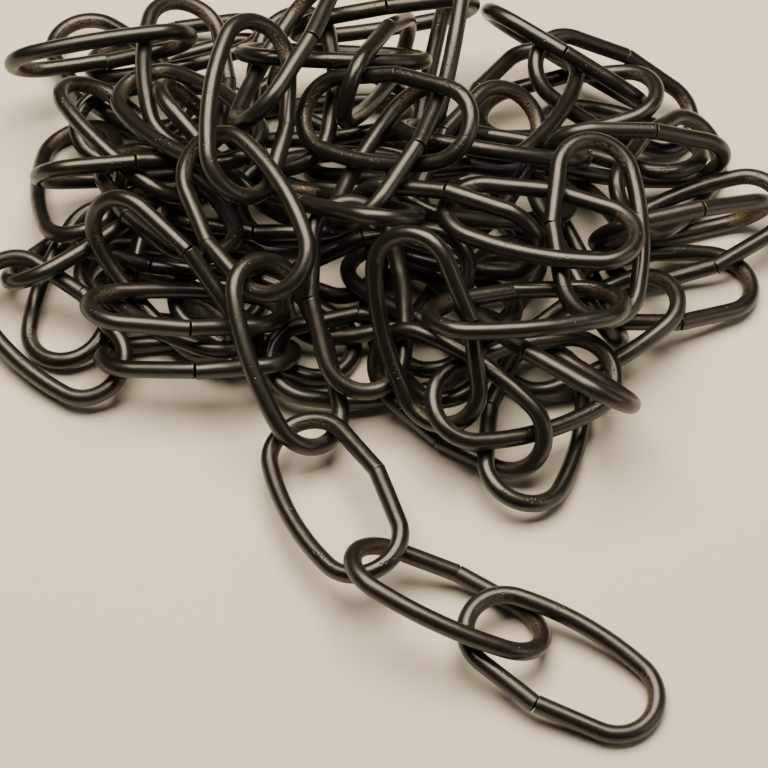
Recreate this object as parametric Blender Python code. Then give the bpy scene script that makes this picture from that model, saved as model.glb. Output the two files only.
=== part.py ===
"""Heap of loose black iron chain: long oval links of round wire, butt joined and not welded.

The links lie as they fell, each one hooked through its neighbours, and a short tail of links
runs out of the heap at the front (-Y) and ends in a free end link.
Units: millimetres in the values below, metres in the scene.  +Z is up, the floor is z = 0.
"""
import math

import bmesh
import bpy
import numpy as np

# driving dimensions, mm
WIRE = 4.0              # diameter of the wire
LINK_LENGTH = 47.5      # outside length of a link
LINK_WIDTH = 25.0       # outside width of a link
CROWN_RADIUS = 9.0      # radius of the wire's centreline round each end of a link
JOINT_KINK = 0.4        # how far the butt joint stands out past the width of the oval
CLEARANCE = 0.3         # air between two wires that touch

# how finely a link is divided
CROWN_STEPS = 6         # stretches of centreline round each crown
BOW_STEPS = 3           # stretches along the bowed side
WIRE_SIDES = 8          # flats round the wire, one of them along each face of the link

# how the hidden links are gathered
CROSSING_GAP = 0.8      # wires between the centrelines of two that cross, at most
GATHER_ROUNDS = 200     # at most, in which those that lie apart are drawn together

# how the links are eased apart, in rounds
HOOK_ROUNDS = 60        # links are brought into and out of each other's eyes
HOOK_PULL = 0.02        # share of the way back to where it was laid that a link goes in a round
SETTLE_ROUNDS = 60      # links come down on to the ones below
SETTLE_PULL = 0.01      # the same share while they come down
SETTLE_DROP = 0.02      # mm that a link comes down in one round
CLEAR_ROUNDS = 400      # at most, in which what still touches is moved clear
CLEAR_STRENGTH = 1.4    # in these, how far two wires part for each mm that they lack
CLEAR_SHARE = 0.6       # share of the clearance from which two wires count as clear
TURN_ARM = 13.0         # mm, how hard a link is to turn against how hard it is to shift
EYE_ROUNDNESS = 2.6     # exponent of the oval that counts as the eye of a link
CROWD = 3               # touches at once past which a link goes more slowly
STEER_SHIFT = 0.6       # mm in a round that a link is steered into or off another
STEER_TURN = 0.4        # how much of that shift turns the link as well
STEER_LIFT = 8.0        # mm by which the upper of two wrongly hooked links counts as higher
STEER_FREEDOM = 0.2     # how much of its pull home a link keeps while it is steered
CROWN_REACH = 0.75      # wires from the end of a link at which it is steered into an eye
FLAT_TO_EACH_OTHER = 0.8    # cosine from which two hooked links lie flat to each other
EDGE_TURN = 0.03        # radians in a round that such links turn on edge
HOME_LIFT = 2.0         # mm at most that the pull home counts up or down
LEAST_BOW = 0.2         # mm that the crown's radius stays under half the oval's width

# Where each link lies: its two ends (x, y, z) in hundredths of a link's length, its roll about
# its own length in degrees, and the side of it that has the joint (1 is the left side on the way
# from end to end).
LENGTHS = [
    [   # from the left edge through the bottom of the heap and up its right side
        ("left_1", (-114, 110, 15), (-181, 47, 21), 40, -1),
        ("left_2", (-194, 55, 21), (-129, -9, 11), 15, 1),
        ("left_3", (-135, 1, 15), (-44, 5, 15), -30, -1),
        ("core_1", (-57, -3, 16), (33, 15, 8), 15, 1),
        ("core_2", (12, 4, 9), (69, 76, 12), -15, 1),
        ("core_3", (70, 56, 8), (7, 122, 12), 15, -1),
        ("core_4", (18, 111, 13), (-72, 96, 21), -35, 1),
        ("core_5", (-76, 107, 12), (-4, 51, 18), 25, -1),
        ("core_6", (-13, 65, 17), (57, 9, 34), -10, 1),
        ("right_1", (46, 16, 33), (111, -46, 49), -50, -1),
        ("right_2", (107, -5, 23), (24, -41, 34), -15, -1),
        ("right_3", (30, -41, 26), (8, 20, 90), -40, -1),
        ("right_4", (22, -10, 63), (111, 9, 55), -30, 1),
        ("right_5", (100, 4, 47), (100, 92, 74), 15, 1),
        ("right_6", (118, 36, 66), (30, 60, 65), 5, -1),
        ("middle_1", (72, 38, 56), (-14, 69, 48), -80, -1),
        ("middle_2", (10, 38, 81), (-53, 89, 39), 35, 1),
    ],
    [   # from the back over the top, down the front, round the right and back, then the tail
        ("back_1", (11, 192, 37), (-18, 116, 79), 85, 1),
        ("top_1", (-39, 123, 61), (41, 86, 88), 30, 1),
        ("top_2", (21, 130, 71), (-18, 48, 63), 40, 1),
        ("front_1", (-17, 59, 66), (-7, -23, 27), -10, -1),
        ("front_2", (-3, -3, 33), (72, -55, 22), 55, -1),
        ("front_3", (61, -75, 14), (82, 14, 8), 15, 1),
        ("front_4", (60, 0, 5), (140, 42, 21), -10, 1),
        ("front_5", (181, 61, 4), (93, 38, 20), 0, 1),
        ("side_1", (114, 68, 5), (197, 101, 24), 10, -1),
        ("side_2", (118, 77, 37), (166, 150, 11), 35, 1),
        ("side_3", (169, 120, 24), (82, 108, 50), 80, 1),
        ("side_4", (99, 113, 37), (10, 114, 55), 40, -1),
        ("back_2", (19, 120, 34), (37, 202, 72), -70, 1),
        ("back_3", (45, 198, 59), (-45, 183, 55), 60, 1),
        ("back_4", (-46, 192, 59), (-45, 102, 42), 20, 1),
        ("back_5", (-70, 153, 70), (20, 163, 56), -40, 1),
        ("top_3", (-31, 182, 88), (-66, 98, 81), 50, 1),
        ("top_4", (-59, 144, 100), (-70, 56, 77), -40, 1),
        ("tail_1", (-88, 91, 73), (-43, 12, 65), 30, -1),
        ("tail_2", (-60, 26, 64), (-30, -44, 13), -25, 1),
        ("tail_3", (-43, -37, 17), (-3, -119, 27), 10, 1),
        ("tail_4", (-13, -116, 32), (70, -147, 9), -30, 1),
        ("end_link", (38, -137, 17), (117, -182, 4), 0, -1),
    ],
    [   # two links deep under the right shoulder
        ("under_1", (189, 95, 18), (105, 63, 36), 65, 1),
        ("under_2", (108, 56, 29), (67, 134, 4), 5, 1),
    ],
    [   # along the back of the heap and round to the left side
        ("under_3", (12, 162, 15), (-79, 155, 12), 25, 1),
        ("under_4", (-68, 158, 12), (-160, 153, 15), -20, 1),
        ("left_8", (-159, 158, 7), (-148, 71, 31), 15, 1),
        ("left_12", (-82, 119, 26), (-171, 101, 37), 60, 1),
    ],
    [   # three links over the left shoulder
        ("left_6", (-190, 172, 42), (-99, 185, 49), -60, 1),
        ("left_11", (-103, 207, 51), (-99, 116, 42), -20, 1),
        ("left_7", (-128, 157, 45), (-66, 93, 64), 0, 1),
    ],
    [   # two in front of them
        ("left_4", (-80, 45, 47), (-131, 119, 33), 10, 1),
        ("left_5", (-96, 95, 28), (-159, 160, 40), 30, -1),
    ],
    [   # two lying along the left side of the tail
        ("left_9", (-137, 63, 57), (-75, 6, 21), 65, 1),
        ("left_10", (-49, 22, 31), (-140, 13, 44), 30, 1),
    ],
    [   # two under those
        ("left_13", (-136, 97, 20), (-158, 9, 5), 5, 1),
        ("left_14", (-132, 60, 10), (-66, -1, 30), -20, 1),
    ],
    [   # and a length over the right shoulder
        ("shoulder_1", (25, 64, 43), (69, 144, 47), 30, 1),
        ("shoulder_2", (47, 104, 49), (88, 185, 38), -5, 1),
        ("shoulder_3", (78, 175, 47), (159, 158, 7), 15, 1),
        ("shoulder_4", (132, 163, 23), (54, 204, 49), 55, 1),
    ],
]

# The links that are hidden under the others, written the same way.  They are fused where they
# cross into one plain solid, and everything else is eased clear of them.
HIDDEN = "hidden_links"
HIDDEN_LINKS = [
    ((-50, 87, 18), (-107, 150, 45), 55),
    ((-18, 11, 5), (-98, 49, 18), -5),
    ((49, 158, 13), (139, 160, 32), -5),
    ((-138, 161, 5), (-58, 215, 14), 5),
    ((-59, 45, 8), (-148, 70, 6), -5),
    ((54, 128, 23), (-36, 137, 10), 20),
    ((153, 116, 28), (87, 169, 7), 15),
    ((109, 11, 19), (81, 100, 27), 55),
    ((38, -22, 24), (-1, 59, 7), -15),
    ((-43, 29, 15), (39, 46, 45), 35),
    ((-22, 92, 12), (-107, 97, 11), 15),
    ((-154, 201, 9), (-66, 215, 18), -10),
    ((23, 157, 7), (-60, 185, 16), -10),
    ((12, 73, 54), (86, 103, 21), -10),
    ((-60, 56, 24), (-151, 81, 11), 25),
    ((-107, 157, 11), (-170, 225, 10), 0),
]

MM = 0.001


def oval_parts():
    """Radius of the bowed sides, centre of the crowns and the turn from crown to side."""
    half_length = (LINK_LENGTH - WIRE) / 2
    half_width = (LINK_WIDTH - WIRE) / 2
    crown = min(CROWN_RADIUS, half_width - LEAST_BOW)
    centre = half_length - crown
    bow = (centre ** 2 + half_width ** 2 - crown ** 2) / (2 * (half_width - crown))
    return crown, centre, bow, math.atan2(bow - half_width, centre)


def centreline():
    """Closed centreline of one link in its own plane; the joint is at +y in mid-length."""
    crown, centre, bow, turn = oval_parts()
    half_width = (LINK_WIDTH - WIRE) / 2
    points = []
    for side in (1, -1):
        for step in range(CROWN_STEPS + 1):
            angle = -turn + 2 * turn * step / CROWN_STEPS
            points.append((side * (centre + crown * math.cos(angle)), side * crown * math.sin(angle)))
        if side == 1:
            points.append((0.0, half_width + JOINT_KINK))
        else:
            for step in range(1, BOW_STEPS):
                angle = turn - math.pi + (math.pi - 2 * turn) * step / BOW_STEPS
                points.append((bow * math.cos(angle), bow - half_width + bow * math.sin(angle)))
    return np.array([(x, y, 0.0) for x, y in points])


def attitude(first, second, roll, joint_side):
    """Middle of a link and its axes: along its length, to its joint side, and out of its face."""
    first, second = np.array((first, second)) * LINK_LENGTH / 100
    along = (second - first) / np.linalg.norm(second - first)
    level = np.cross((0.0, 0.0, 1.0), along)
    level /= np.linalg.norm(level)
    angle = math.radians(roll)
    across = math.cos(angle) * level + math.sin(angle) * np.cross(along, level)
    across *= joint_side
    return (first + second) / 2, np.stack([along, across, np.cross(along, across)], axis=1)


def wires(middle, axes, outline):
    """Centrelines of all links where they lie."""
    return middle[:, None] + np.einsum("nij,kj->nki", axes, outline)


def turned(axes, turns):
    """Axes after each link makes a small turn about a vector, kept square."""
    angle = np.linalg.norm(turns, axis=1)
    x, y, z = (turns / np.maximum(angle, 1e-12)[:, None]).T
    c, s = np.cos(angle), np.sin(angle)
    rows = [
        [c + x * x * (1 - c), x * y * (1 - c) - z * s, x * z * (1 - c) + y * s],
        [y * x * (1 - c) + z * s, c + y * y * (1 - c), y * z * (1 - c) - x * s],
        [z * x * (1 - c) - y * s, z * y * (1 - c) + x * s, c + z * z * (1 - c)],
    ]
    spin = np.array(rows).transpose(2, 0, 1)
    axes = np.einsum("nij,njk->nik", spin, axes)
    along = axes[:, :, 0] / np.linalg.norm(axes[:, :, 0], axis=1)[:, None]
    across = axes[:, :, 1] - (axes[:, :, 1] * along).sum(1)[:, None] * along
    across /= np.linalg.norm(across, axis=1)[:, None]
    return np.stack([along, across, np.cross(along, across)], axis=2)


def hooked(middle, axes, lines, one, other):
    """True for each pair where the wire of the other link passes through the eye of the one."""
    local = np.einsum("pki,pij->pkj", lines[other] - middle[one][:, None], axes[one])
    following = np.roll(local, -1, axis=1)
    here, there = local[..., 2], following[..., 2]
    through = here * there < 0
    share = np.where(through, here / np.where(through, here - there, 1.0), 0.0)
    x = local[..., 0] + share * (following[..., 0] - local[..., 0])
    y = local[..., 1] + share * (following[..., 1] - local[..., 1])
    half_length, half_width = (LINK_LENGTH - WIRE) / 2, (LINK_WIDTH - WIRE) / 2
    oval = (np.abs(x) / half_length) ** EYE_ROUNDNESS + (np.abs(y) / half_width) ** EYE_ROUNDNESS
    inside = oval < 1
    return (np.sign(there) * (through & inside)).sum(1) != 0


def nearest_points(a0, a1, b0, b1):
    """Nearest points of two straight stretches of wire, for many pairs at once."""
    along_a, along_b, between = a1 - a0, b1 - b0, a0 - b0
    aa, bb, ab = (along_a ** 2).sum(-1), (along_b ** 2).sum(-1), (along_a * along_b).sum(-1)
    ar, br = (along_a * between).sum(-1), (along_b * between).sum(-1)
    spread = aa * bb - ab * ab
    skew = spread > 1e-9
    s = np.clip(np.where(skew, (ab * br - ar * bb) / np.where(skew, spread, 1.0), 0.0), 0, 1)
    t = (ab * s + br) / bb
    s = np.where(t < 0, np.clip(-ar / aa, 0, 1), np.where(t > 1, np.clip((ab - ar) / aa, 0, 1), s))
    t = np.clip(t, 0, 1)
    return a0 + s[..., None] * along_a, b0 + t[..., None] * along_b


def closest_places(lines, one, other, looks=4):
    """Up to four places where each pair of links comes closest, nearest first."""
    count = lines.shape[1]
    following = np.roll(lines, -1, axis=1)
    a, b = lines[one][:, :, None], lines[other][:, None]
    on_a, on_b = nearest_points(a, following[one][:, :, None], b, following[other][:, None])
    gaps = np.sqrt(((on_a - on_b) ** 2).sum(-1)).reshape(len(one), -1)
    rows = np.arange(len(one))
    for _ in range(looks):
        nearest = gaps.argmin(1)
        i, j = nearest // count, nearest % count
        yield gaps[rows, nearest], on_a[rows, i, j], on_b[rows, i, j]
        for di in (-1, 0, 1):
            for dj in (-1, 0, 1):
                gaps[rows, ((i + di) % count) * count + (j + dj) % count] = 1e9


def gathered(middle, axes, outline):
    """Middles of the hidden links after each is drawn to the rest until it crosses one of them."""
    one, other = np.triu_indices(len(middle), 1)
    for _ in range(GATHER_ROUNDS):
        gap, on_one, on_other = next(closest_places(wires(middle, axes, outline), one, other))
        group = list(range(len(middle)))
        shift = np.zeros_like(middle)
        for pair in np.argsort(gap, kind="stable"):
            i, j = one[pair], other[pair]
            if group[i] == group[j]:
                continue
            group = [group[i] if g == group[j] else g for g in group]
            lack = max(0.0, gap[pair] - CROSSING_GAP * WIRE)
            way = (on_other[pair] - on_one[pair]) / max(gap[pair], 1e-9) * lack / 2
            shift[i] += way
            shift[j] -= way
        if not shift.any():
            break
        middle = middle + shift
    return middle


def steer(middle, axes, i, j, shift, turn, should_hook):
    """Bring the ends of two links into each other's eyes, or lift one link off the other."""
    if not should_hook:
        away = middle[i] - middle[j]
        away = away + np.array([0.0, 0.0, STEER_LIFT]) * (1 if away[2] >= 0 else -1)
        away /= np.linalg.norm(away)
        shift[i] += STEER_SHIFT * away
        shift[j] -= STEER_SHIFT * away
        return
    reach = (LINK_LENGTH - WIRE) / 2 - CROWN_REACH * WIRE
    choices = []
    for a in (-1, 1):
        for b in (-1, 1):
            end_i, end_j = middle[i] + a * reach * axes[i, :, 0], middle[j] + b * reach * axes[j, :, 0]
            choices.append((round(float(np.linalg.norm(end_i - end_j)), 6), a, b, end_i, end_j))
    end_i, end_j = min(choices, key=lambda choice: choice[:3])[3:]
    pull = (end_j - end_i) / 2
    pull *= min(1.0, 1.0 / max(np.linalg.norm(pull), 1e-9))
    for link, end, way in ((i, end_i, pull), (j, end_j, -pull)):
        shift[link] += STEER_SHIFT * way
        turn[link] += STEER_TURN * np.cross(end - middle[link], way) / TURN_ARM ** 2
    if abs(axes[i, :, 2] @ axes[j, :, 2]) > FLAT_TO_EACH_OTHER:
        same_way = 1 if axes[i, :, 0] @ axes[j, :, 0] >= 0 else -1
        turn[i] += EDGE_TURN * axes[i, :, 0]
        turn[j] -= EDGE_TURN * axes[j, :, 0] * same_way


def ease_round(middle, axes, outline, neighbours, fused, laid, pull, drop, strength):
    """One round: every two wires that are too close are moved apart by what they lack."""
    count = len(middle)
    reach = WIRE + CLEARANCE
    lines = wires(middle, axes, outline)
    low, high = lines.min(1) - reach / 2, lines.max(1) + reach / 2
    one, other = np.triu_indices(count, 1)
    near = ((low[one] < high[other]) & (low[other] < high[one])).all(1)
    near |= neighbours[one, other]
    near &= ~(fused[one] & fused[other])
    one, other = one[near], other[near]
    right = hooked(middle, axes, lines, one, other) == neighbours[one, other]
    right |= fused[one] | fused[other]
    shift, turn, touches = np.zeros((count, 3)), np.zeros((count, 3)), np.zeros(count)
    tightest = reach
    for gap, on_one, on_other in closest_places(lines, one, other):
        close = right & (gap < reach)
        tightest = min(tightest, gap.min())
        i, j = one[close], other[close]
        way = (on_one - on_other)[close] / np.maximum(gap[close], 1e-9)[:, None]
        arm_i, arm_j = np.cross(on_one[close] - middle[i], way), np.cross(on_other[close] - middle[j], way)
        ease = 2 + ((arm_i ** 2).sum(1) + (arm_j ** 2).sum(1)) / TURN_ARM ** 2
        amount = ((reach - gap[close]) / ease)[:, None]
        for link, sign, arm in ((i, 1, arm_i), (j, -1, arm_j)):
            np.add.at(shift, link, sign * amount * way)
            np.add.at(turn, link, sign * amount * arm / TURN_ARM ** 2)
            np.add.at(touches, link, 1)
    share = np.where(touches > CROWD, CROWD / np.maximum(touches, 1), 1.0)[:, None] * strength
    shift, turn = shift * share, turn * share
    free = np.ones(count)
    for i, j in zip(one[~right], other[~right]):
        free[i] = free[j] = STEER_FREEDOM
        steer(middle, axes, i, j, shift, turn, neighbours[i, j])
    homeward = laid[0] - middle
    homeward[:, 2] = np.clip(homeward[:, 2], -HOME_LIFT, HOME_LIFT)
    home_turn = 0.5 * sum(np.cross(axes[:, :, a], laid[1][:, :, a]) for a in range(3))
    middle = middle + shift + pull * free[:, None] * homeward
    middle[:, 2] -= drop
    axes = turned(axes, turn + pull * free[:, None] * home_turn)
    middle, axes = on_floor(middle, axes, outline)
    middle[fused], axes[fused] = laid[0][fused], laid[1][fused]
    return middle, axes, right.all() and tightest > WIRE + CLEAR_SHARE * CLEARANCE


def on_floor(middle, axes, outline):
    """Lift what is below the floor: first the low end of a link, then the whole of it."""
    up = np.array([0.0, 0.0, 1.0])
    lines = wires(middle, axes, outline)
    lowest = lines[np.arange(len(middle)), lines[:, :, 2].argmin(1)]
    lack = np.maximum(WIRE / 2 - lowest[:, 2], 0)
    arm = np.cross(lowest - middle, up)
    lift = lack / (1 + (arm ** 2).sum(1) / TURN_ARM ** 2)
    middle = middle + lift[:, None] * up
    axes = turned(axes, lift[:, None] * arm / TURN_ARM ** 2)
    lack = np.maximum(WIRE / 2 - wires(middle, axes, outline)[:, :, 2].min(1), 0)
    middle = middle + lack[:, None] * up
    return np.round(middle, 6), np.round(axes, 8)


def lie_of_the_heap():
    """Middles and axes of all links, hooked in order and clear of each other, hidden ones last."""
    places = [place[1:] for length in LENGTHS for place in length]
    places += [place + (1,) for place in HIDDEN_LINKS]
    outline = centreline()
    neighbours = np.zeros((len(places), len(places)), bool)
    start = 0
    for length in LENGTHS:
        for i in range(start, start + len(length) - 1):
            neighbours[i, i + 1] = neighbours[i + 1, i] = True
        start += len(length)
    fused = np.arange(len(places)) >= start
    laid = [attitude(*place) for place in places]
    laid = (np.array([m for m, _ in laid]), np.array([a for _, a in laid]))
    laid[0][fused] = gathered(laid[0][fused], laid[1][fused], outline)
    middle, axes = laid
    for rounds, pull, drop in ((HOOK_ROUNDS, HOOK_PULL, 0.0), (SETTLE_ROUNDS, SETTLE_PULL, SETTLE_DROP)):
        for _ in range(rounds):
            middle, axes, _ = ease_round(middle, axes, outline, neighbours, fused, laid, pull, drop, 1.0)
    for _ in range(CLEAR_ROUNDS):
        middle, axes, clear = ease_round(middle, axes, outline, neighbours, fused, laid, 0.0, 0.0,
                                         CLEAR_STRENGTH)
        if clear:
            break
    return middle, axes, outline


def wire_section():
    """Corners of the wire's section as (out of the oval, out of the face), flat on each face."""
    corners = []
    for side in range(WIRE_SIDES):
        angle = 2 * math.pi * (side + 0.5) / WIRE_SIDES
        corners.append((WIRE / 2 * math.cos(angle), WIRE / 2 * math.sin(angle)))
    return corners


def wire_rings(middle, axes, outline):
    """Rings of corners round the wire, one ring at each point of the centreline."""
    rings = []
    count = len(outline)
    for k in range(count):
        back, ahead = outline[k] - outline[k - 1], outline[(k + 1) % count] - outline[k]
        back, ahead = back / np.linalg.norm(back), ahead / np.linalg.norm(ahead)
        along = (back + ahead) / np.linalg.norm(back + ahead)
        out = np.array([along[1], -along[0], 0.0]) / (along @ ahead)
        for outward, faceward in wire_section():
            rings.append(middle + axes @ (outline[k] + outward * out + np.array([0.0, 0.0, faceward])))
    return np.array(rings).reshape(count, WIRE_SIDES, 3)


def build_link(name, rings, material):
    """Skin the rings of one link and close them on themselves."""
    mesh = bmesh.new()
    corners = [[mesh.verts.new(corner * MM) for corner in ring] for ring in rings]
    for k, ring in enumerate(corners):
        following = corners[(k + 1) % len(corners)]
        for c in range(WIRE_SIDES):
            d = (c + 1) % WIRE_SIDES
            mesh.faces.new((ring[c], ring[d], following[d], following[c]))
    bmesh.ops.recalc_face_normals(mesh, faces=mesh.faces)
    data = bpy.data.meshes.new(name)
    mesh.to_mesh(data)
    mesh.free()
    data.materials.append(material)
    link = bpy.data.objects.new(name, data)
    bpy.context.scene.collection.objects.link(link)
    return link


def iron(name):
    """Black lacquered iron wire."""
    material = bpy.data.materials.new(name)
    material.use_nodes = True
    shader = material.node_tree.nodes["Principled BSDF"]
    shader.inputs["Base Color"].default_value = (0.016, 0.014, 0.012, 1.0)
    shader.inputs["Metallic"].default_value = 1.0
    shader.inputs["Roughness"].default_value = 0.42
    return material


def fuse(name, links, material):
    """One solid of several links that cross each other."""
    first, *others = [build_link(name, rings, material) for rings in links]
    crossing = bpy.data.collections.new(name + "_crossing")
    for number, link in enumerate(others, 1):
        link.name = "%s_cut_%d" % (name, number)
        link.hide_render = True
        link.display_type = "WIRE"
        crossing.objects.link(link)
    union = first.modifiers.new("fused where they cross", "BOOLEAN")
    union.operation = "UNION"
    union.solver = "EXACT"
    union.operand_type = "COLLECTION"
    union.collection = crossing
    return first


def main():
    for old in list(bpy.data.objects):
        bpy.data.objects.remove(old, do_unlink=True)
    names = [place[0] for length in LENGTHS for place in length]
    middles, attitudes, outline = lie_of_the_heap()
    links = np.array([wire_rings(m, a, outline) for m, a in zip(middles, attitudes)])
    low, high = links.min((0, 1, 2)), links.max((0, 1, 2))
    links -= ((low[0] + high[0]) / 2, (low[1] + high[1]) / 2, low[2])
    for name, rings in zip(names, links):
        build_link(name, rings, iron(name + "_iron"))
    fuse(HIDDEN, links[len(names):], iron(HIDDEN + "_iron"))


main()
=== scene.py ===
"""Looks of the heap of black iron chain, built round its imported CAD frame.

Every link is one length of round drawn wire, bent to a long oval and butted in the middle of one
side without a weld.  Each is made again here from its own lie in the frame, with smooth crowns, a
real cut at the butt joint and a blackened, lacquered surface that the neighbouring links have rubbed.
Named lengths are in mm and angles in degrees, unless a comment says metres, as the scene itself is.
"""
import math
import random

import bpy
import numpy as np
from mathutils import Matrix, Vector


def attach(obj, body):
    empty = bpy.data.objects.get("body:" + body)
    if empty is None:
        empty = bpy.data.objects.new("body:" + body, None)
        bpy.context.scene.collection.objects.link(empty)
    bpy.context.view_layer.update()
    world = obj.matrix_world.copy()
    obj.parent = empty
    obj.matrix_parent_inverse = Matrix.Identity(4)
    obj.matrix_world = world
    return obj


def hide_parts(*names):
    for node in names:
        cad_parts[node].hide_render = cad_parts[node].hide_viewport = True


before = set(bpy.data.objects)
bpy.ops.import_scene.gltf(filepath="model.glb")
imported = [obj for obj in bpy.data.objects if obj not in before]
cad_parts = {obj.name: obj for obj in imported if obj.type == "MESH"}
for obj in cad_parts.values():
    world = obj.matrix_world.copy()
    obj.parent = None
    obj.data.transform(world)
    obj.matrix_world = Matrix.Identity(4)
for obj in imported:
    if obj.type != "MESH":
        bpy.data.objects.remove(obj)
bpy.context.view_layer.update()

MM = 0.001

# the link
WIRE = 3.92                     # drawn 4 mm wire, a touch thin so that resting links only touch
NOMINAL_WIRE = 4.0              # the wire's size by name, which the outside sizes go by
LINK_LENGTH = 47.5              # outside
LINK_WIDTH = 25.0               # outside
CROWN_RADIUS = 9.0              # centreline round each end

# the butt joint in the middle of one side
JOINT_KINK = 0.4                # it stands out past the oval
JOINT_GAP = (0.01, 0.05)        # air between the two cut ends, from the tightest link to the loosest
JOINT_MISS = 0.16               # most that a cut end stands off the true line, each way
JOINT_SPRING = 13.0             # length of wire that bends to do so
SPRING_POWER = 1.5              # how much of the bend is close to the cut
CUT_ROUNDING = 0.18             # rounded rim of a cut end, where the shears nipped the wire
FRAME_JOINT_REACH = 2.5         # this near mid link, a frame link has no corners but its joint's

# how finely a link is divided
SIDES = 24                      # round the wire
CROWN_STEP = 6.0                # turn of a crown between two rings
BOW_RINGS = 12                  # along the side without a joint
STRAIGHT_RINGS = 7              # along each half of the jointed side
STRAIGHT_START = 0.2            # share of that half before the first of them
RIM_RINGS = (0.0, 0.05, 0.12, CUT_ROUNDING, 0.6, 1.6)   # from a cut end, closest round its rim

# where a link is rubbed by its neighbours and in handling
RUB_START = 12.0                # from mid link to where the inside of a crown begins to be rubbed
RUB_RAMP = 6.0                  # and from there to where it is rubbed most
RUB_SPREAD = 1.4                # how far round the wire the rubbing reaches from the inside
RUB_EDGE = 0.1                  # and what is taken off its faint outer edge
RIM_WEAR = 0.5                  # width of the rubbed rim of a cut end

# marks on the wire and in its lacquer: how wide they are, or how far apart
LACQUER_PATCH = 9.0             # thicker and thinner lacquer
DIE_LINE = 0.35                 # line left by the drawing die, wider than a real one so that it shows
DIE_LINE_LENGTH = 14.0
ORANGE_PEEL = 0.8
WIRE_WAVE = 5.0                 # slow unevenness of the wire
PIT_SPACING = 1.2
PITTED_PLACE = 7.0              # a stretch of lacquer with pits
WEAR_GRAIN = 0.45               # speck of bare iron
SHEAR_TEAR = 0.5                # grain of a cut end

# and their depth
WIRE_WAVE_DEPTH = 0.16
ORANGE_PEEL_DEPTH = 0.02
DIE_LINE_DEPTH = 0.01
WEAR_DEPTH = 0.08
PIT_DEPTH = 0.08
SHEAR_TEAR_DEPTH = 0.1

# the photograph's camera
SENSOR = 36.0
LENS_PIXELS = 2402.0            # focal length over the 768 pixel frame
FRAME_PIXELS = 768.0
CAMERA_DISTANCE = 550.0
CAMERA_ELEVATION = 54.0
AIMED_AT = (0.15, -9.42, 0.0)   # point of the floor in the middle of the picture
CAMERA_REACH = (0.01, 20.0)     # nearest and furthest seen, metres

# the studio, metres and watts
TABLE_HALF = 1.5
LIT_POINT = (0.0, 0.0, 0.02)
SOFTBOXES = [
    # name, place, width, depth, power, tint
    ("overhead_softbox", (-0.03, 0.13, 0.62), 0.60, 0.48, 13.5, "#ffedd0"),
    ("right_fill", (0.75, -0.25, 0.35), 0.5, 0.5, 1.4, "#fff3df"),
]
ROOM_TINT = "#cfc9bd"
ROOM_STRENGTH = 0.04

# Links that the others hide.  The frame holds them as one solid, fused where they cross; here they
# are eased clear of each other by a few mm.  The two ends (x, y, z) of each are in hundredths of a
# link's length from the point aimed at, and its roll about its own length is in degrees.
HIDDEN = "hidden_links"
HIDDEN_LINKS = [
    ((-46.9, 90.2, 18), (-110.5, 147, 51.2), 47),
    ((-16.3, 11.7, 4.2), (-99.8, 46.8, 18), -1),
    ((49.5, 159.2, 14), (138.8, 160.1, 34), -7),
    ((-137.9, 170.3, 4.4), (-57.9, 214.8, 4.3), 0),
    ((-60.7, 45.5, 4.4), (-149.5, 68.1, 5.9), -1),
    ((50.4, 127.4, 24.2), (-39.2, 137.1, 8.4), 18),
    ((155.1, 114.9, 28.4), (85.8, 170.5, 5.9), 14),
    ((110.7, 12.8, 19.2), (77.2, 97.4, 28.9), 60),
    ((38.3, -22.4, 23.8), (0.7, 59.3, 6.7), -15),
    ((-47.3, 32.6, 16.8), (39.8, 42.1, 43.8), 35),
    ((-16.9, 95.1, 12), (-108.1, 103.6, 11.9), 21),
    ((-154.8, 202.3, 7.9), (-65.1, 214.2, 21.7), -19),
    ((29.2, 153.7, 4.2), (-55.6, 182.6, 23.2), -3),
    ((9.4, 74.5, 54.6), (90.8, 101.1, 22), -9),
    ((-61.5, 55.3, 22.9), (-148.4, 82, 12.3), 29),
    ((-108.8, 156.9, 11.7), (-169, 226, 12.6), -2),
]


def colour(srgb):
    """Linear red, green, blue and alpha of an sRGB hex colour."""
    parts = [int(srgb[i:i + 2], 16) / 255 for i in (1, 3, 5)]
    return tuple(c / 12.92 if c <= 0.04045 else ((c + 0.055) / 1.055) ** 2.4 for c in parts) + (1.0,)


def find_lie(cad_link):
    """Middle of a link in the frame, and its axes along, across to its joint and out of its face."""
    corners = np.array([v.co for v in cad_link.data.vertices], float) / MM
    corners = np.unique(np.round(corners, 3), axis=0)
    centre = corners.mean(0)
    along = np.linalg.eigh(np.cov((corners - centre).T))[1][:, 2]
    along *= np.sign(along[np.abs(along).argmax()])
    joint_ring = corners[np.abs((corners - centre) @ along) < FRAME_JOINT_REACH]
    joint = joint_ring.mean(0)
    across = joint - centre
    across -= along * (across @ along)
    across /= np.linalg.norm(across)
    half_width = (LINK_WIDTH - NOMINAL_WIRE) / 2
    middle = joint - across * (half_width + JOINT_KINK)
    return middle, np.stack([along, across, np.cross(along, across)], axis=1)


def hidden_lie(first, second, roll):
    """The same for a hidden link, from where its two ends were laid."""
    first, second = np.array((first, second)) * LINK_LENGTH / 100 + AIMED_AT
    along = (second - first) / np.linalg.norm(second - first)
    level = np.cross((0.0, 0.0, 1.0), along)
    level /= np.linalg.norm(level)
    across = math.cos(math.radians(roll)) * level + math.sin(math.radians(roll)) * np.cross(along, level)
    return (first + second) / 2, np.stack([along, across, np.cross(along, across)], axis=1)


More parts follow.
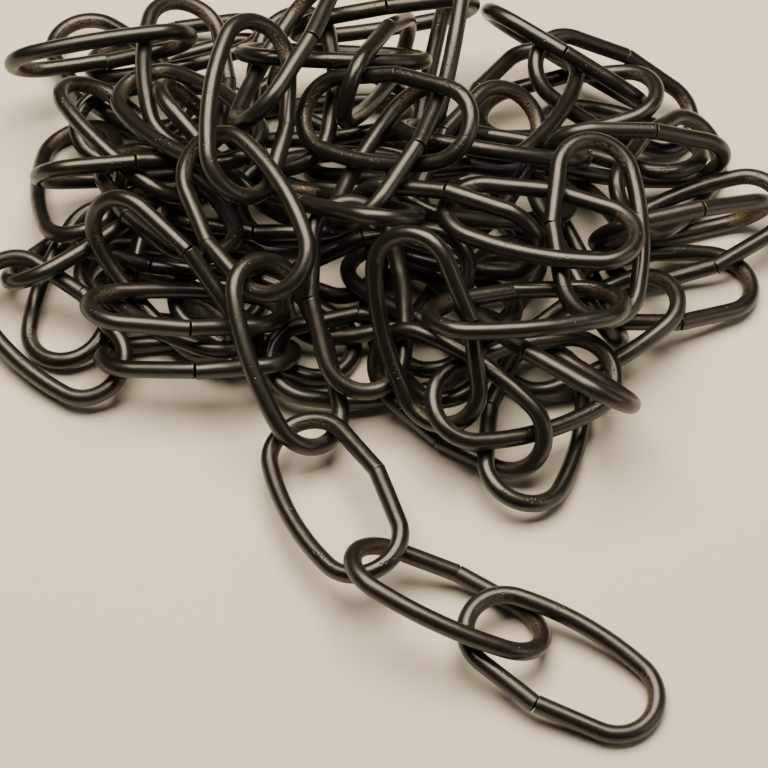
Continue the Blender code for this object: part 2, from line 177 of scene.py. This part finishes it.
def bend_wire(gap):
    """Centreline from one cut end round to the other, and how far round each point is."""
    half_length = (LINK_LENGTH - NOMINAL_WIRE) / 2
    half_width = (LINK_WIDTH - NOMINAL_WIRE) / 2
    centre = half_length - CROWN_RADIUS
    bow = (centre ** 2 + half_width ** 2 - CROWN_RADIUS ** 2) / (2 * (half_width - CROWN_RADIUS))
    bow_turn = math.atan2(bow - half_width, centre)

    # the jointed side runs straight from its peak to where it touches the crown
    peak = half_width + JOINT_KINK
    leave = math.atan2(peak, -centre) - math.acos(CROWN_RADIUS / math.hypot(centre, peak))
    touch = np.array([centre + CROWN_RADIUS * math.cos(leave), CROWN_RADIUS * math.sin(leave)])
    cut = np.array([0.0, peak])
    cut = cut + (touch - cut) / np.linalg.norm(touch - cut) * gap / 2
    straight = np.linalg.norm(touch - cut)
    shares = [ring / straight for ring in RIM_RINGS]
    shares += list(np.linspace(STRAIGHT_START, 1.0, STRAIGHT_RINGS)[:-1])
    right_half = [cut + (touch - cut) * share for share in shares]

    # then round the crown, and along half of the bowed side
    steps = int(math.degrees(leave + bow_turn) / CROWN_STEP)
    for step in range(steps + 1):
        angle = leave - (leave + bow_turn) * step / steps
        reach = centre + CROWN_RADIUS * math.cos(angle)
        right_half.append(np.array([reach, CROWN_RADIUS * math.sin(angle)]))
    for step in range(1, BOW_RINGS // 2 + 1):
        angle = -bow_turn - (math.pi / 2 - bow_turn) * step / (BOW_RINGS // 2)
        right_half.append(np.array([bow * math.cos(angle), bow - half_width + bow * math.sin(angle)]))

    right_half = np.array(right_half)
    left_half = right_half[-2::-1] * (-1, 1)
    line = np.vstack([right_half, left_half])
    lengths = np.concatenate([[0], np.cumsum(np.linalg.norm(np.diff(line, axis=0), axis=1))])
    return line, lengths


def draw_link(name, lie, metal, cut_metal):
    """One link of wire where the frame's link lies."""
    chance = random.Random(name)
    middle, axes = lie
    line, lengths = bend_wire(chance.uniform(*JOINT_GAP))
    count = len(line)
    ahead = np.gradient(line, lengths, axis=0)
    ahead /= np.linalg.norm(ahead, axis=1)[:, None]
    out = np.stack([-ahead[:, 1], ahead[:, 0]], axis=1)
    from_end = np.minimum(lengths, lengths[-1] - lengths)

    # each half of the jointed side springs a little off the true line towards its cut end
    half = np.where(np.arange(count) < count / 2, 0, 1)
    near_end = np.clip(1 - from_end / JOINT_SPRING, 0, 1) ** SPRING_POWER
    miss = [(chance.uniform(-1, 1) * JOINT_MISS, chance.uniform(-1, 1) * JOINT_MISS) for _ in range(2)]
    sideways = np.array(miss)[half] * near_end[:, None]

    # the rim of each cut end is rounded over
    inset = np.clip(1 - from_end / CUT_ROUNDING, 0, 1)
    radius = WIRE / 2 - CUT_ROUNDING * (1 - np.sqrt(np.clip(1 - inset ** 2, 0, 1)))

    turn = 2 * math.pi * np.arange(SIDES) / SIDES
    from_line = radius[:, None] * np.cos(turn) + sideways[:, :1]
    x = line[:, 0, None] + out[:, 0, None] * from_line
    y = line[:, 1, None] + out[:, 1, None] * from_line
    z = radius[:, None] * np.sin(turn) + sideways[:, 1:]
    corners = (middle + np.stack([x, y, z], axis=2).reshape(-1, 3) @ axes.T) * MM

    faces = []
    for k in range(count - 1):
        for c in range(SIDES):
            d = (c + 1) % SIDES
            faces.append((k * SIDES + c, k * SIDES + d, (k + 1) * SIDES + d, (k + 1) * SIDES + c))
    sides = len(faces)
    faces.append(tuple(range(SIDES))[::-1])
    faces.append(tuple((count - 1) * SIDES + c for c in range(SIDES)))

    data = bpy.data.meshes.new(name + "_wire")
    data.from_pydata(corners.tolist(), [], faces)
    data.materials.append(metal)
    data.materials.append(cut_metal)
    data.polygons.foreach_set("use_smooth", [True] * sides + [False] * 2)
    data.polygons.foreach_set("material_index", [0] * sides + [1] * 2)

    # how far along and round the wire, in mm, for marks that follow it
    unrolled = data.uv_layers.new(name="unrolled_wire")
    round_mm = math.pi * WIRE / SIDES
    places = []
    for k in range(count - 1):
        for c in range(SIDES):
            places += [(lengths[k], c * round_mm), (lengths[k], (c + 1) * round_mm),
                       (lengths[k + 1], (c + 1) * round_mm), (lengths[k + 1], c * round_mm)]
    places += [(0.0, 0.0)] * (2 * SIDES)
    unrolled.data.foreach_set("uv", np.array(places, np.float32).ravel())

    # where the neighbours rub: the inside of both crowns
    at_crown = np.clip((np.abs(line[:, 0]) - RUB_START) / RUB_RAMP, 0, 1)[:, None]
    inside = np.clip(-np.cos(turn) * RUB_SPREAD - RUB_EDGE, 0, 1)[None]
    rubbed = data.attributes.new("rubbed", "FLOAT", "POINT")
    rubbed.data.foreach_set("value", (at_crown * inside).astype(np.float32).ravel())

    # and the rim of each cut end
    at_cut = np.repeat(np.clip(1 - from_end / RIM_WEAR, 0, 1), SIDES)
    rim = data.attributes.new("cut_rim", "FLOAT", "POINT")
    rim.data.foreach_set("value", at_cut.astype(np.float32))

    # how dull the lacquer came out on this link
    dip = data.attributes.new("dip", "FLOAT", "POINT")
    dip.data.foreach_set("value", [chance.random()] * len(data.vertices))

    link = bpy.data.objects.new(name + "_wire", data)
    bpy.context.scene.collection.objects.link(link)
    return link


def add(tree, kind, inputs=None, **settings):
    """Adds a node: inputs are values or other nodes' outputs, settings are its own properties."""
    made = tree.nodes.new(kind)
    for key, value in settings.items():
        setattr(made, key, value)
    for key, value in (inputs or {}).items():
        if isinstance(value, bpy.types.NodeSocket):
            tree.links.new(value, made.inputs[key])
        else:
            made.inputs[key].default_value = value
    return made


def new_finish(name):
    """An empty node material with its shader."""
    finish = bpy.data.materials.new(name)
    finish.use_nodes = True
    return finish, finish.node_tree, finish.node_tree.nodes["Principled BSDF"]


def black_lacquered_iron_wire():
    """Drawn iron wire, blackened by heat and dipped in thin satin lacquer.

    The eye gets a near-black brown metal with long soft highlights, faint lines along the wire from
    the drawing die, a slight orange peel and pits in the lacquer, each blackened with painted shade,
    and specks of bare brown iron inside the crowns and on the edges of the cut ends, where the lacquer is
    rubbed off.
    """
    finish, tree, shader = new_finish("black_lacquered_iron_wire")
    where = add(tree, "ShaderNodeTexCoord").outputs["Object"]
    place = add(tree, "ShaderNodeMapping",
                {"Vector": where, "Scale": (1 / MM, 1 / MM, 1 / MM)}).outputs["Vector"]
    unrolled = add(tree, "ShaderNodeUVMap", uv_map="unrolled_wire").outputs["UV"]
    rubbed = add(tree, "ShaderNodeAttribute", attribute_name="rubbed").outputs["Fac"]
    rim = add(tree, "ShaderNodeAttribute", attribute_name="cut_rim").outputs["Fac"]
    dip = add(tree, "ShaderNodeAttribute", attribute_name="dip").outputs["Fac"]

    # patches where the lacquer lies thicker or thinner
    patches = add(tree, "ShaderNodeTexNoise",
                  {"Vector": place, "Scale": 1 / LACQUER_PATCH, "Detail": 3.0, "Roughness": 0.55})
    thickness = add(tree, "ShaderNodeMapRange",
                    {"Value": patches.outputs["Fac"], "From Min": 0.36, "From Max": 0.64})

    # lines that the die left along the wire
    stretched = add(tree, "ShaderNodeMapping",
                    {"Vector": unrolled, "Scale": (1 / DIE_LINE_LENGTH, 1 / DIE_LINE, 1.0)})
    die_lines = add(tree, "ShaderNodeTexNoise",
                    {"Vector": stretched.outputs["Vector"], "Scale": 1.0, "Detail": 2.0})

    # orange peel of the lacquer, and slow unevenness of the wire
    peel = add(tree, "ShaderNodeTexNoise", {"Vector": place, "Scale": 1 / ORANGE_PEEL, "Detail": 2.0})
    sway = add(tree, "ShaderNodeTexNoise", {"Vector": place, "Scale": 1 / WIRE_WAVE, "Detail": 1.0})

    # pits and dust nibs in the lacquer, a third as wide as they are apart, only here and there; the same
    # mask dents them and paints shade into them
    pit_cells = add(tree, "ShaderNodeTexVoronoi",
                    {"Vector": place, "Scale": 1 / PIT_SPACING, "Randomness": 1.0})
    pit_shape = add(tree, "ShaderNodeMapRange",
                    {"Value": pit_cells.outputs["Distance"], "From Min": 0.27, "From Max": 0.10})
    pit_area = add(tree, "ShaderNodeTexNoise",
                   {"Vector": place, "Scale": 1 / PITTED_PLACE, "Detail": 0.0})
    pit_here = add(tree, "ShaderNodeMapRange",
                   {"Value": pit_area.outputs["Fac"], "From Min": 0.58, "From Max": 0.65})
    pits_and_pit_shade = add(tree, "ShaderNodeMath", {0: pit_shape.outputs["Result"], 1: pit_here.outputs["Result"]},
               operation="MULTIPLY").outputs["Value"]

    # rubbed crowns: a fine grain breaks the wear into specks of bare brown iron
    wear_grain = add(tree, "ShaderNodeTexNoise",
                     {"Vector": place, "Scale": 1 / WEAR_GRAIN, "Detail": 3.0, "Roughness": 0.6})
    wear_sum = add(tree, "ShaderNodeMath", {0: rubbed, 1: 0.40, 2: wear_grain.outputs["Fac"]},
                   operation="MULTIPLY_ADD")
    wear = add(tree, "ShaderNodeMapRange",
               {"Value": wear_sum.outputs["Value"], "From Min": 0.80, "From Max": 0.94})
    worn = add(tree, "ShaderNodeMath", {0: wear.outputs["Result"], 1: rubbed},
               operation="MULTIPLY").outputs["Value"]

    # the edge of a cut end is rubbed bright in places too
    edge_sum = add(tree, "ShaderNodeMath", {0: rim, 1: 0.5, 2: wear_grain.outputs["Fac"]},
                   operation="MULTIPLY_ADD")
    edge = add(tree, "ShaderNodeMapRange",
               {"Value": edge_sum.outputs["Value"], "From Min": 0.86, "From Max": 1.0}).outputs["Result"]
    bare = add(tree, "ShaderNodeMath", {0: worn, 1: edge}, operation="MAXIMUM").outputs["Value"]

    # colour: blacker where thin lacquer shows the heated iron, blacker again as painted shade in a pit,
    # brown where it is bare
    tone = add(tree, "ShaderNodeMix",
               {"Factor": thickness.outputs["Result"], "A": colour("#0c0b09"), "B": colour("#14120e")},
               data_type="RGBA")
    # painted shade: the pit mask blackens the lacquer's colour to #060504 in each pit
    pit_shaded_tone = add(tree, "ShaderNodeMix",
                 {"Factor": pits_and_pit_shade, "A": tone.outputs["Result"], "B": colour("#060504")}, data_type="RGBA")
    toned = add(tree, "ShaderNodeMix",
                {"Factor": bare, "A": pit_shaded_tone.outputs["Result"], "B": colour("#5e5443")}, data_type="RGBA")

    # gloss: thick lacquer is smoother, and one link came out of the dip glossier than the next
    gloss = add(tree, "ShaderNodeMapRange",
                {"Value": thickness.outputs["Result"], "To Min": 0.31, "To Max": 0.23})
    by_link = add(tree, "ShaderNodeMath", {0: dip, 1: 0.07, 2: gloss.outputs["Result"]},
                  operation="MULTIPLY_ADD")
    die_dull = add(tree, "ShaderNodeMath",
                   {0: die_lines.outputs["Fac"], 1: 0.10, 2: by_link.outputs["Value"]},
                   operation="MULTIPLY_ADD")
    dull = add(tree, "ShaderNodeMath", {0: worn, 1: 0.15, 2: die_dull.outputs["Value"]},
               operation="MULTIPLY_ADD")

    # relief, from the slowest to the finest
    waves = add(tree, "ShaderNodeBump",
                {"Height": sway.outputs["Fac"], "Strength": 1.0, "Distance": WIRE_WAVE_DEPTH * MM})
    skin = add(tree, "ShaderNodeBump",
               {"Height": peel.outputs["Fac"], "Strength": 1.0, "Distance": ORANGE_PEEL_DEPTH * MM,
                "Normal": waves.outputs["Normal"]})
    lined = add(tree, "ShaderNodeBump",
                {"Height": die_lines.outputs["Fac"], "Strength": 1.0, "Distance": DIE_LINE_DEPTH * MM,
                 "Normal": skin.outputs["Normal"]})
    scraped = add(tree, "ShaderNodeBump",
                  {"Height": worn, "Strength": 1.0, "Distance": WEAR_DEPTH * MM,
                   "Normal": lined.outputs["Normal"]})
    dented = add(tree, "ShaderNodeBump",
                 {"Height": pits_and_pit_shade, "Strength": 1.0, "Distance": PIT_DEPTH * MM,
                  "Normal": scraped.outputs["Normal"]},
                 invert=True)

    shader.inputs["IOR"].default_value = 1.5
    shader.inputs["Coat Weight"].default_value = 0.2
    shader.inputs["Coat Roughness"].default_value = 0.22
    tree.links.new(toned.outputs["Result"], shader.inputs["Base Color"])
    tree.links.new(bare, shader.inputs["Metallic"])
    tree.links.new(dull.outputs["Value"], shader.inputs["Roughness"])
    tree.links.new(dented.outputs["Normal"], shader.inputs["Normal"])
    return finish


def sheared_iron_end():
    """Iron wire where the shears cut it, blackened with the rest: dark, dull and torn across."""
    finish, tree, shader = new_finish("sheared_iron_end")
    where = add(tree, "ShaderNodeTexCoord").outputs["Object"]
    place = add(tree, "ShaderNodeMapping",
                {"Vector": where, "Scale": (1 / MM, 1 / MM, 1 / MM)}).outputs["Vector"]
    tear = add(tree, "ShaderNodeTexNoise", {"Vector": place, "Scale": 1 / SHEAR_TEAR, "Detail": 3.0})
    tone = add(tree, "ShaderNodeMix",
               {"Factor": tear.outputs["Fac"], "A": colour("#26231f"), "B": colour("#4a453d")},
               data_type="RGBA")
    torn = add(tree, "ShaderNodeBump",
               {"Height": tear.outputs["Fac"], "Strength": 1.0, "Distance": SHEAR_TEAR_DEPTH * MM})
    shader.inputs["Metallic"].default_value = 1.0
    shader.inputs["Roughness"].default_value = 0.6
    tree.links.new(tone.outputs["Result"], shader.inputs["Base Color"])
    tree.links.new(torn.outputs["Normal"], shader.inputs["Normal"])
    return finish


def matt_pale_board():
    """Studio table board with a matt paint: plain and pale, with no shine of its own."""
    finish, _, shader = new_finish("matt_pale_board")
    shader.inputs["Base Color"].default_value = colour("#c8c4bb")
    shader.inputs["Roughness"].default_value = 0.9
    return finish


def dress_links():
    """Every link of the heap in wire, standing for its solid in the frame."""
    lies = []
    for node, cad_link in sorted(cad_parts.items()):
        if node != HIDDEN:
            lies.append((node, node, find_lie(cad_link)))
    for number, place in enumerate(HIDDEN_LINKS, 1):
        lies.append(("hidden_link_%d" % number, HIDDEN, hidden_lie(*place)))
    wire_finish = black_lacquered_iron_wire()
    cut_finish = sheared_iron_end()
    links = []
    for name, node, lie in lies:
        link = draw_link(name, lie, wire_finish, cut_finish)
        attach(link, "root")
        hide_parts(node)
        links.append(link)
    return links


def lay_table(links):
    """Pale table just under the lowest link."""
    low = min((link.matrix_world @ v.co).z for link in links for v in link.data.vertices)
    corners = [(-TABLE_HALF, -TABLE_HALF, low), (TABLE_HALF, -TABLE_HALF, low),
               (TABLE_HALF, TABLE_HALF, low), (-TABLE_HALF, TABLE_HALF, low)]
    data = bpy.data.meshes.new("table")
    data.from_pydata(corners, [], [(0, 1, 2, 3)])
    data.materials.append(matt_pale_board())
    table = bpy.data.objects.new("table", data)
    bpy.context.scene.collection.objects.link(table)


def set_camera():
    """Camera where the photograph's stood."""
    elevation = math.radians(CAMERA_ELEVATION)
    back = Vector((0.0, -math.cos(elevation), math.sin(elevation)))
    data = bpy.data.cameras.new("photograph")
    data.sensor_width = SENSOR
    data.lens = SENSOR * LENS_PIXELS / FRAME_PIXELS
    data.clip_start, data.clip_end = CAMERA_REACH
    camera = bpy.data.objects.new("photograph", data)
    camera.location = Vector(AIMED_AT) * MM + back * CAMERA_DISTANCE * MM
    camera.rotation_euler = (math.pi / 2 - elevation, 0.0, 0.0)
    bpy.context.scene.collection.objects.link(camera)
    bpy.context.scene.camera = camera


def hang_softbox(name, place, width, depth, power, tint):
    """A square soft light, turned to the middle of the heap."""
    lamp = bpy.data.lights.new(name, "AREA")
    lamp.shape = "RECTANGLE"
    lamp.size = width
    lamp.size_y = depth
    lamp.energy = power
    lamp.color = colour(tint)[:3]
    softbox = bpy.data.objects.new(name, lamp)
    softbox.location = place
    softbox.rotation_euler = (Vector(LIT_POINT) - Vector(place)).to_track_quat("-Z", "Y").to_euler()
    bpy.context.scene.collection.objects.link(softbox)


def light_room():
    """Faint warm light from the walls of the studio."""
    studio = bpy.data.worlds.new("studio")
    studio.use_nodes = True
    walls = studio.node_tree.nodes["Background"]
    walls.inputs["Color"].default_value = colour(ROOM_TINT)
    walls.inputs["Strength"].default_value = ROOM_STRENGTH
    bpy.context.scene.world = studio


lay_table(dress_links())
set_camera()
for softbox in SOFTBOXES:
    hang_softbox(*softbox)
light_room()
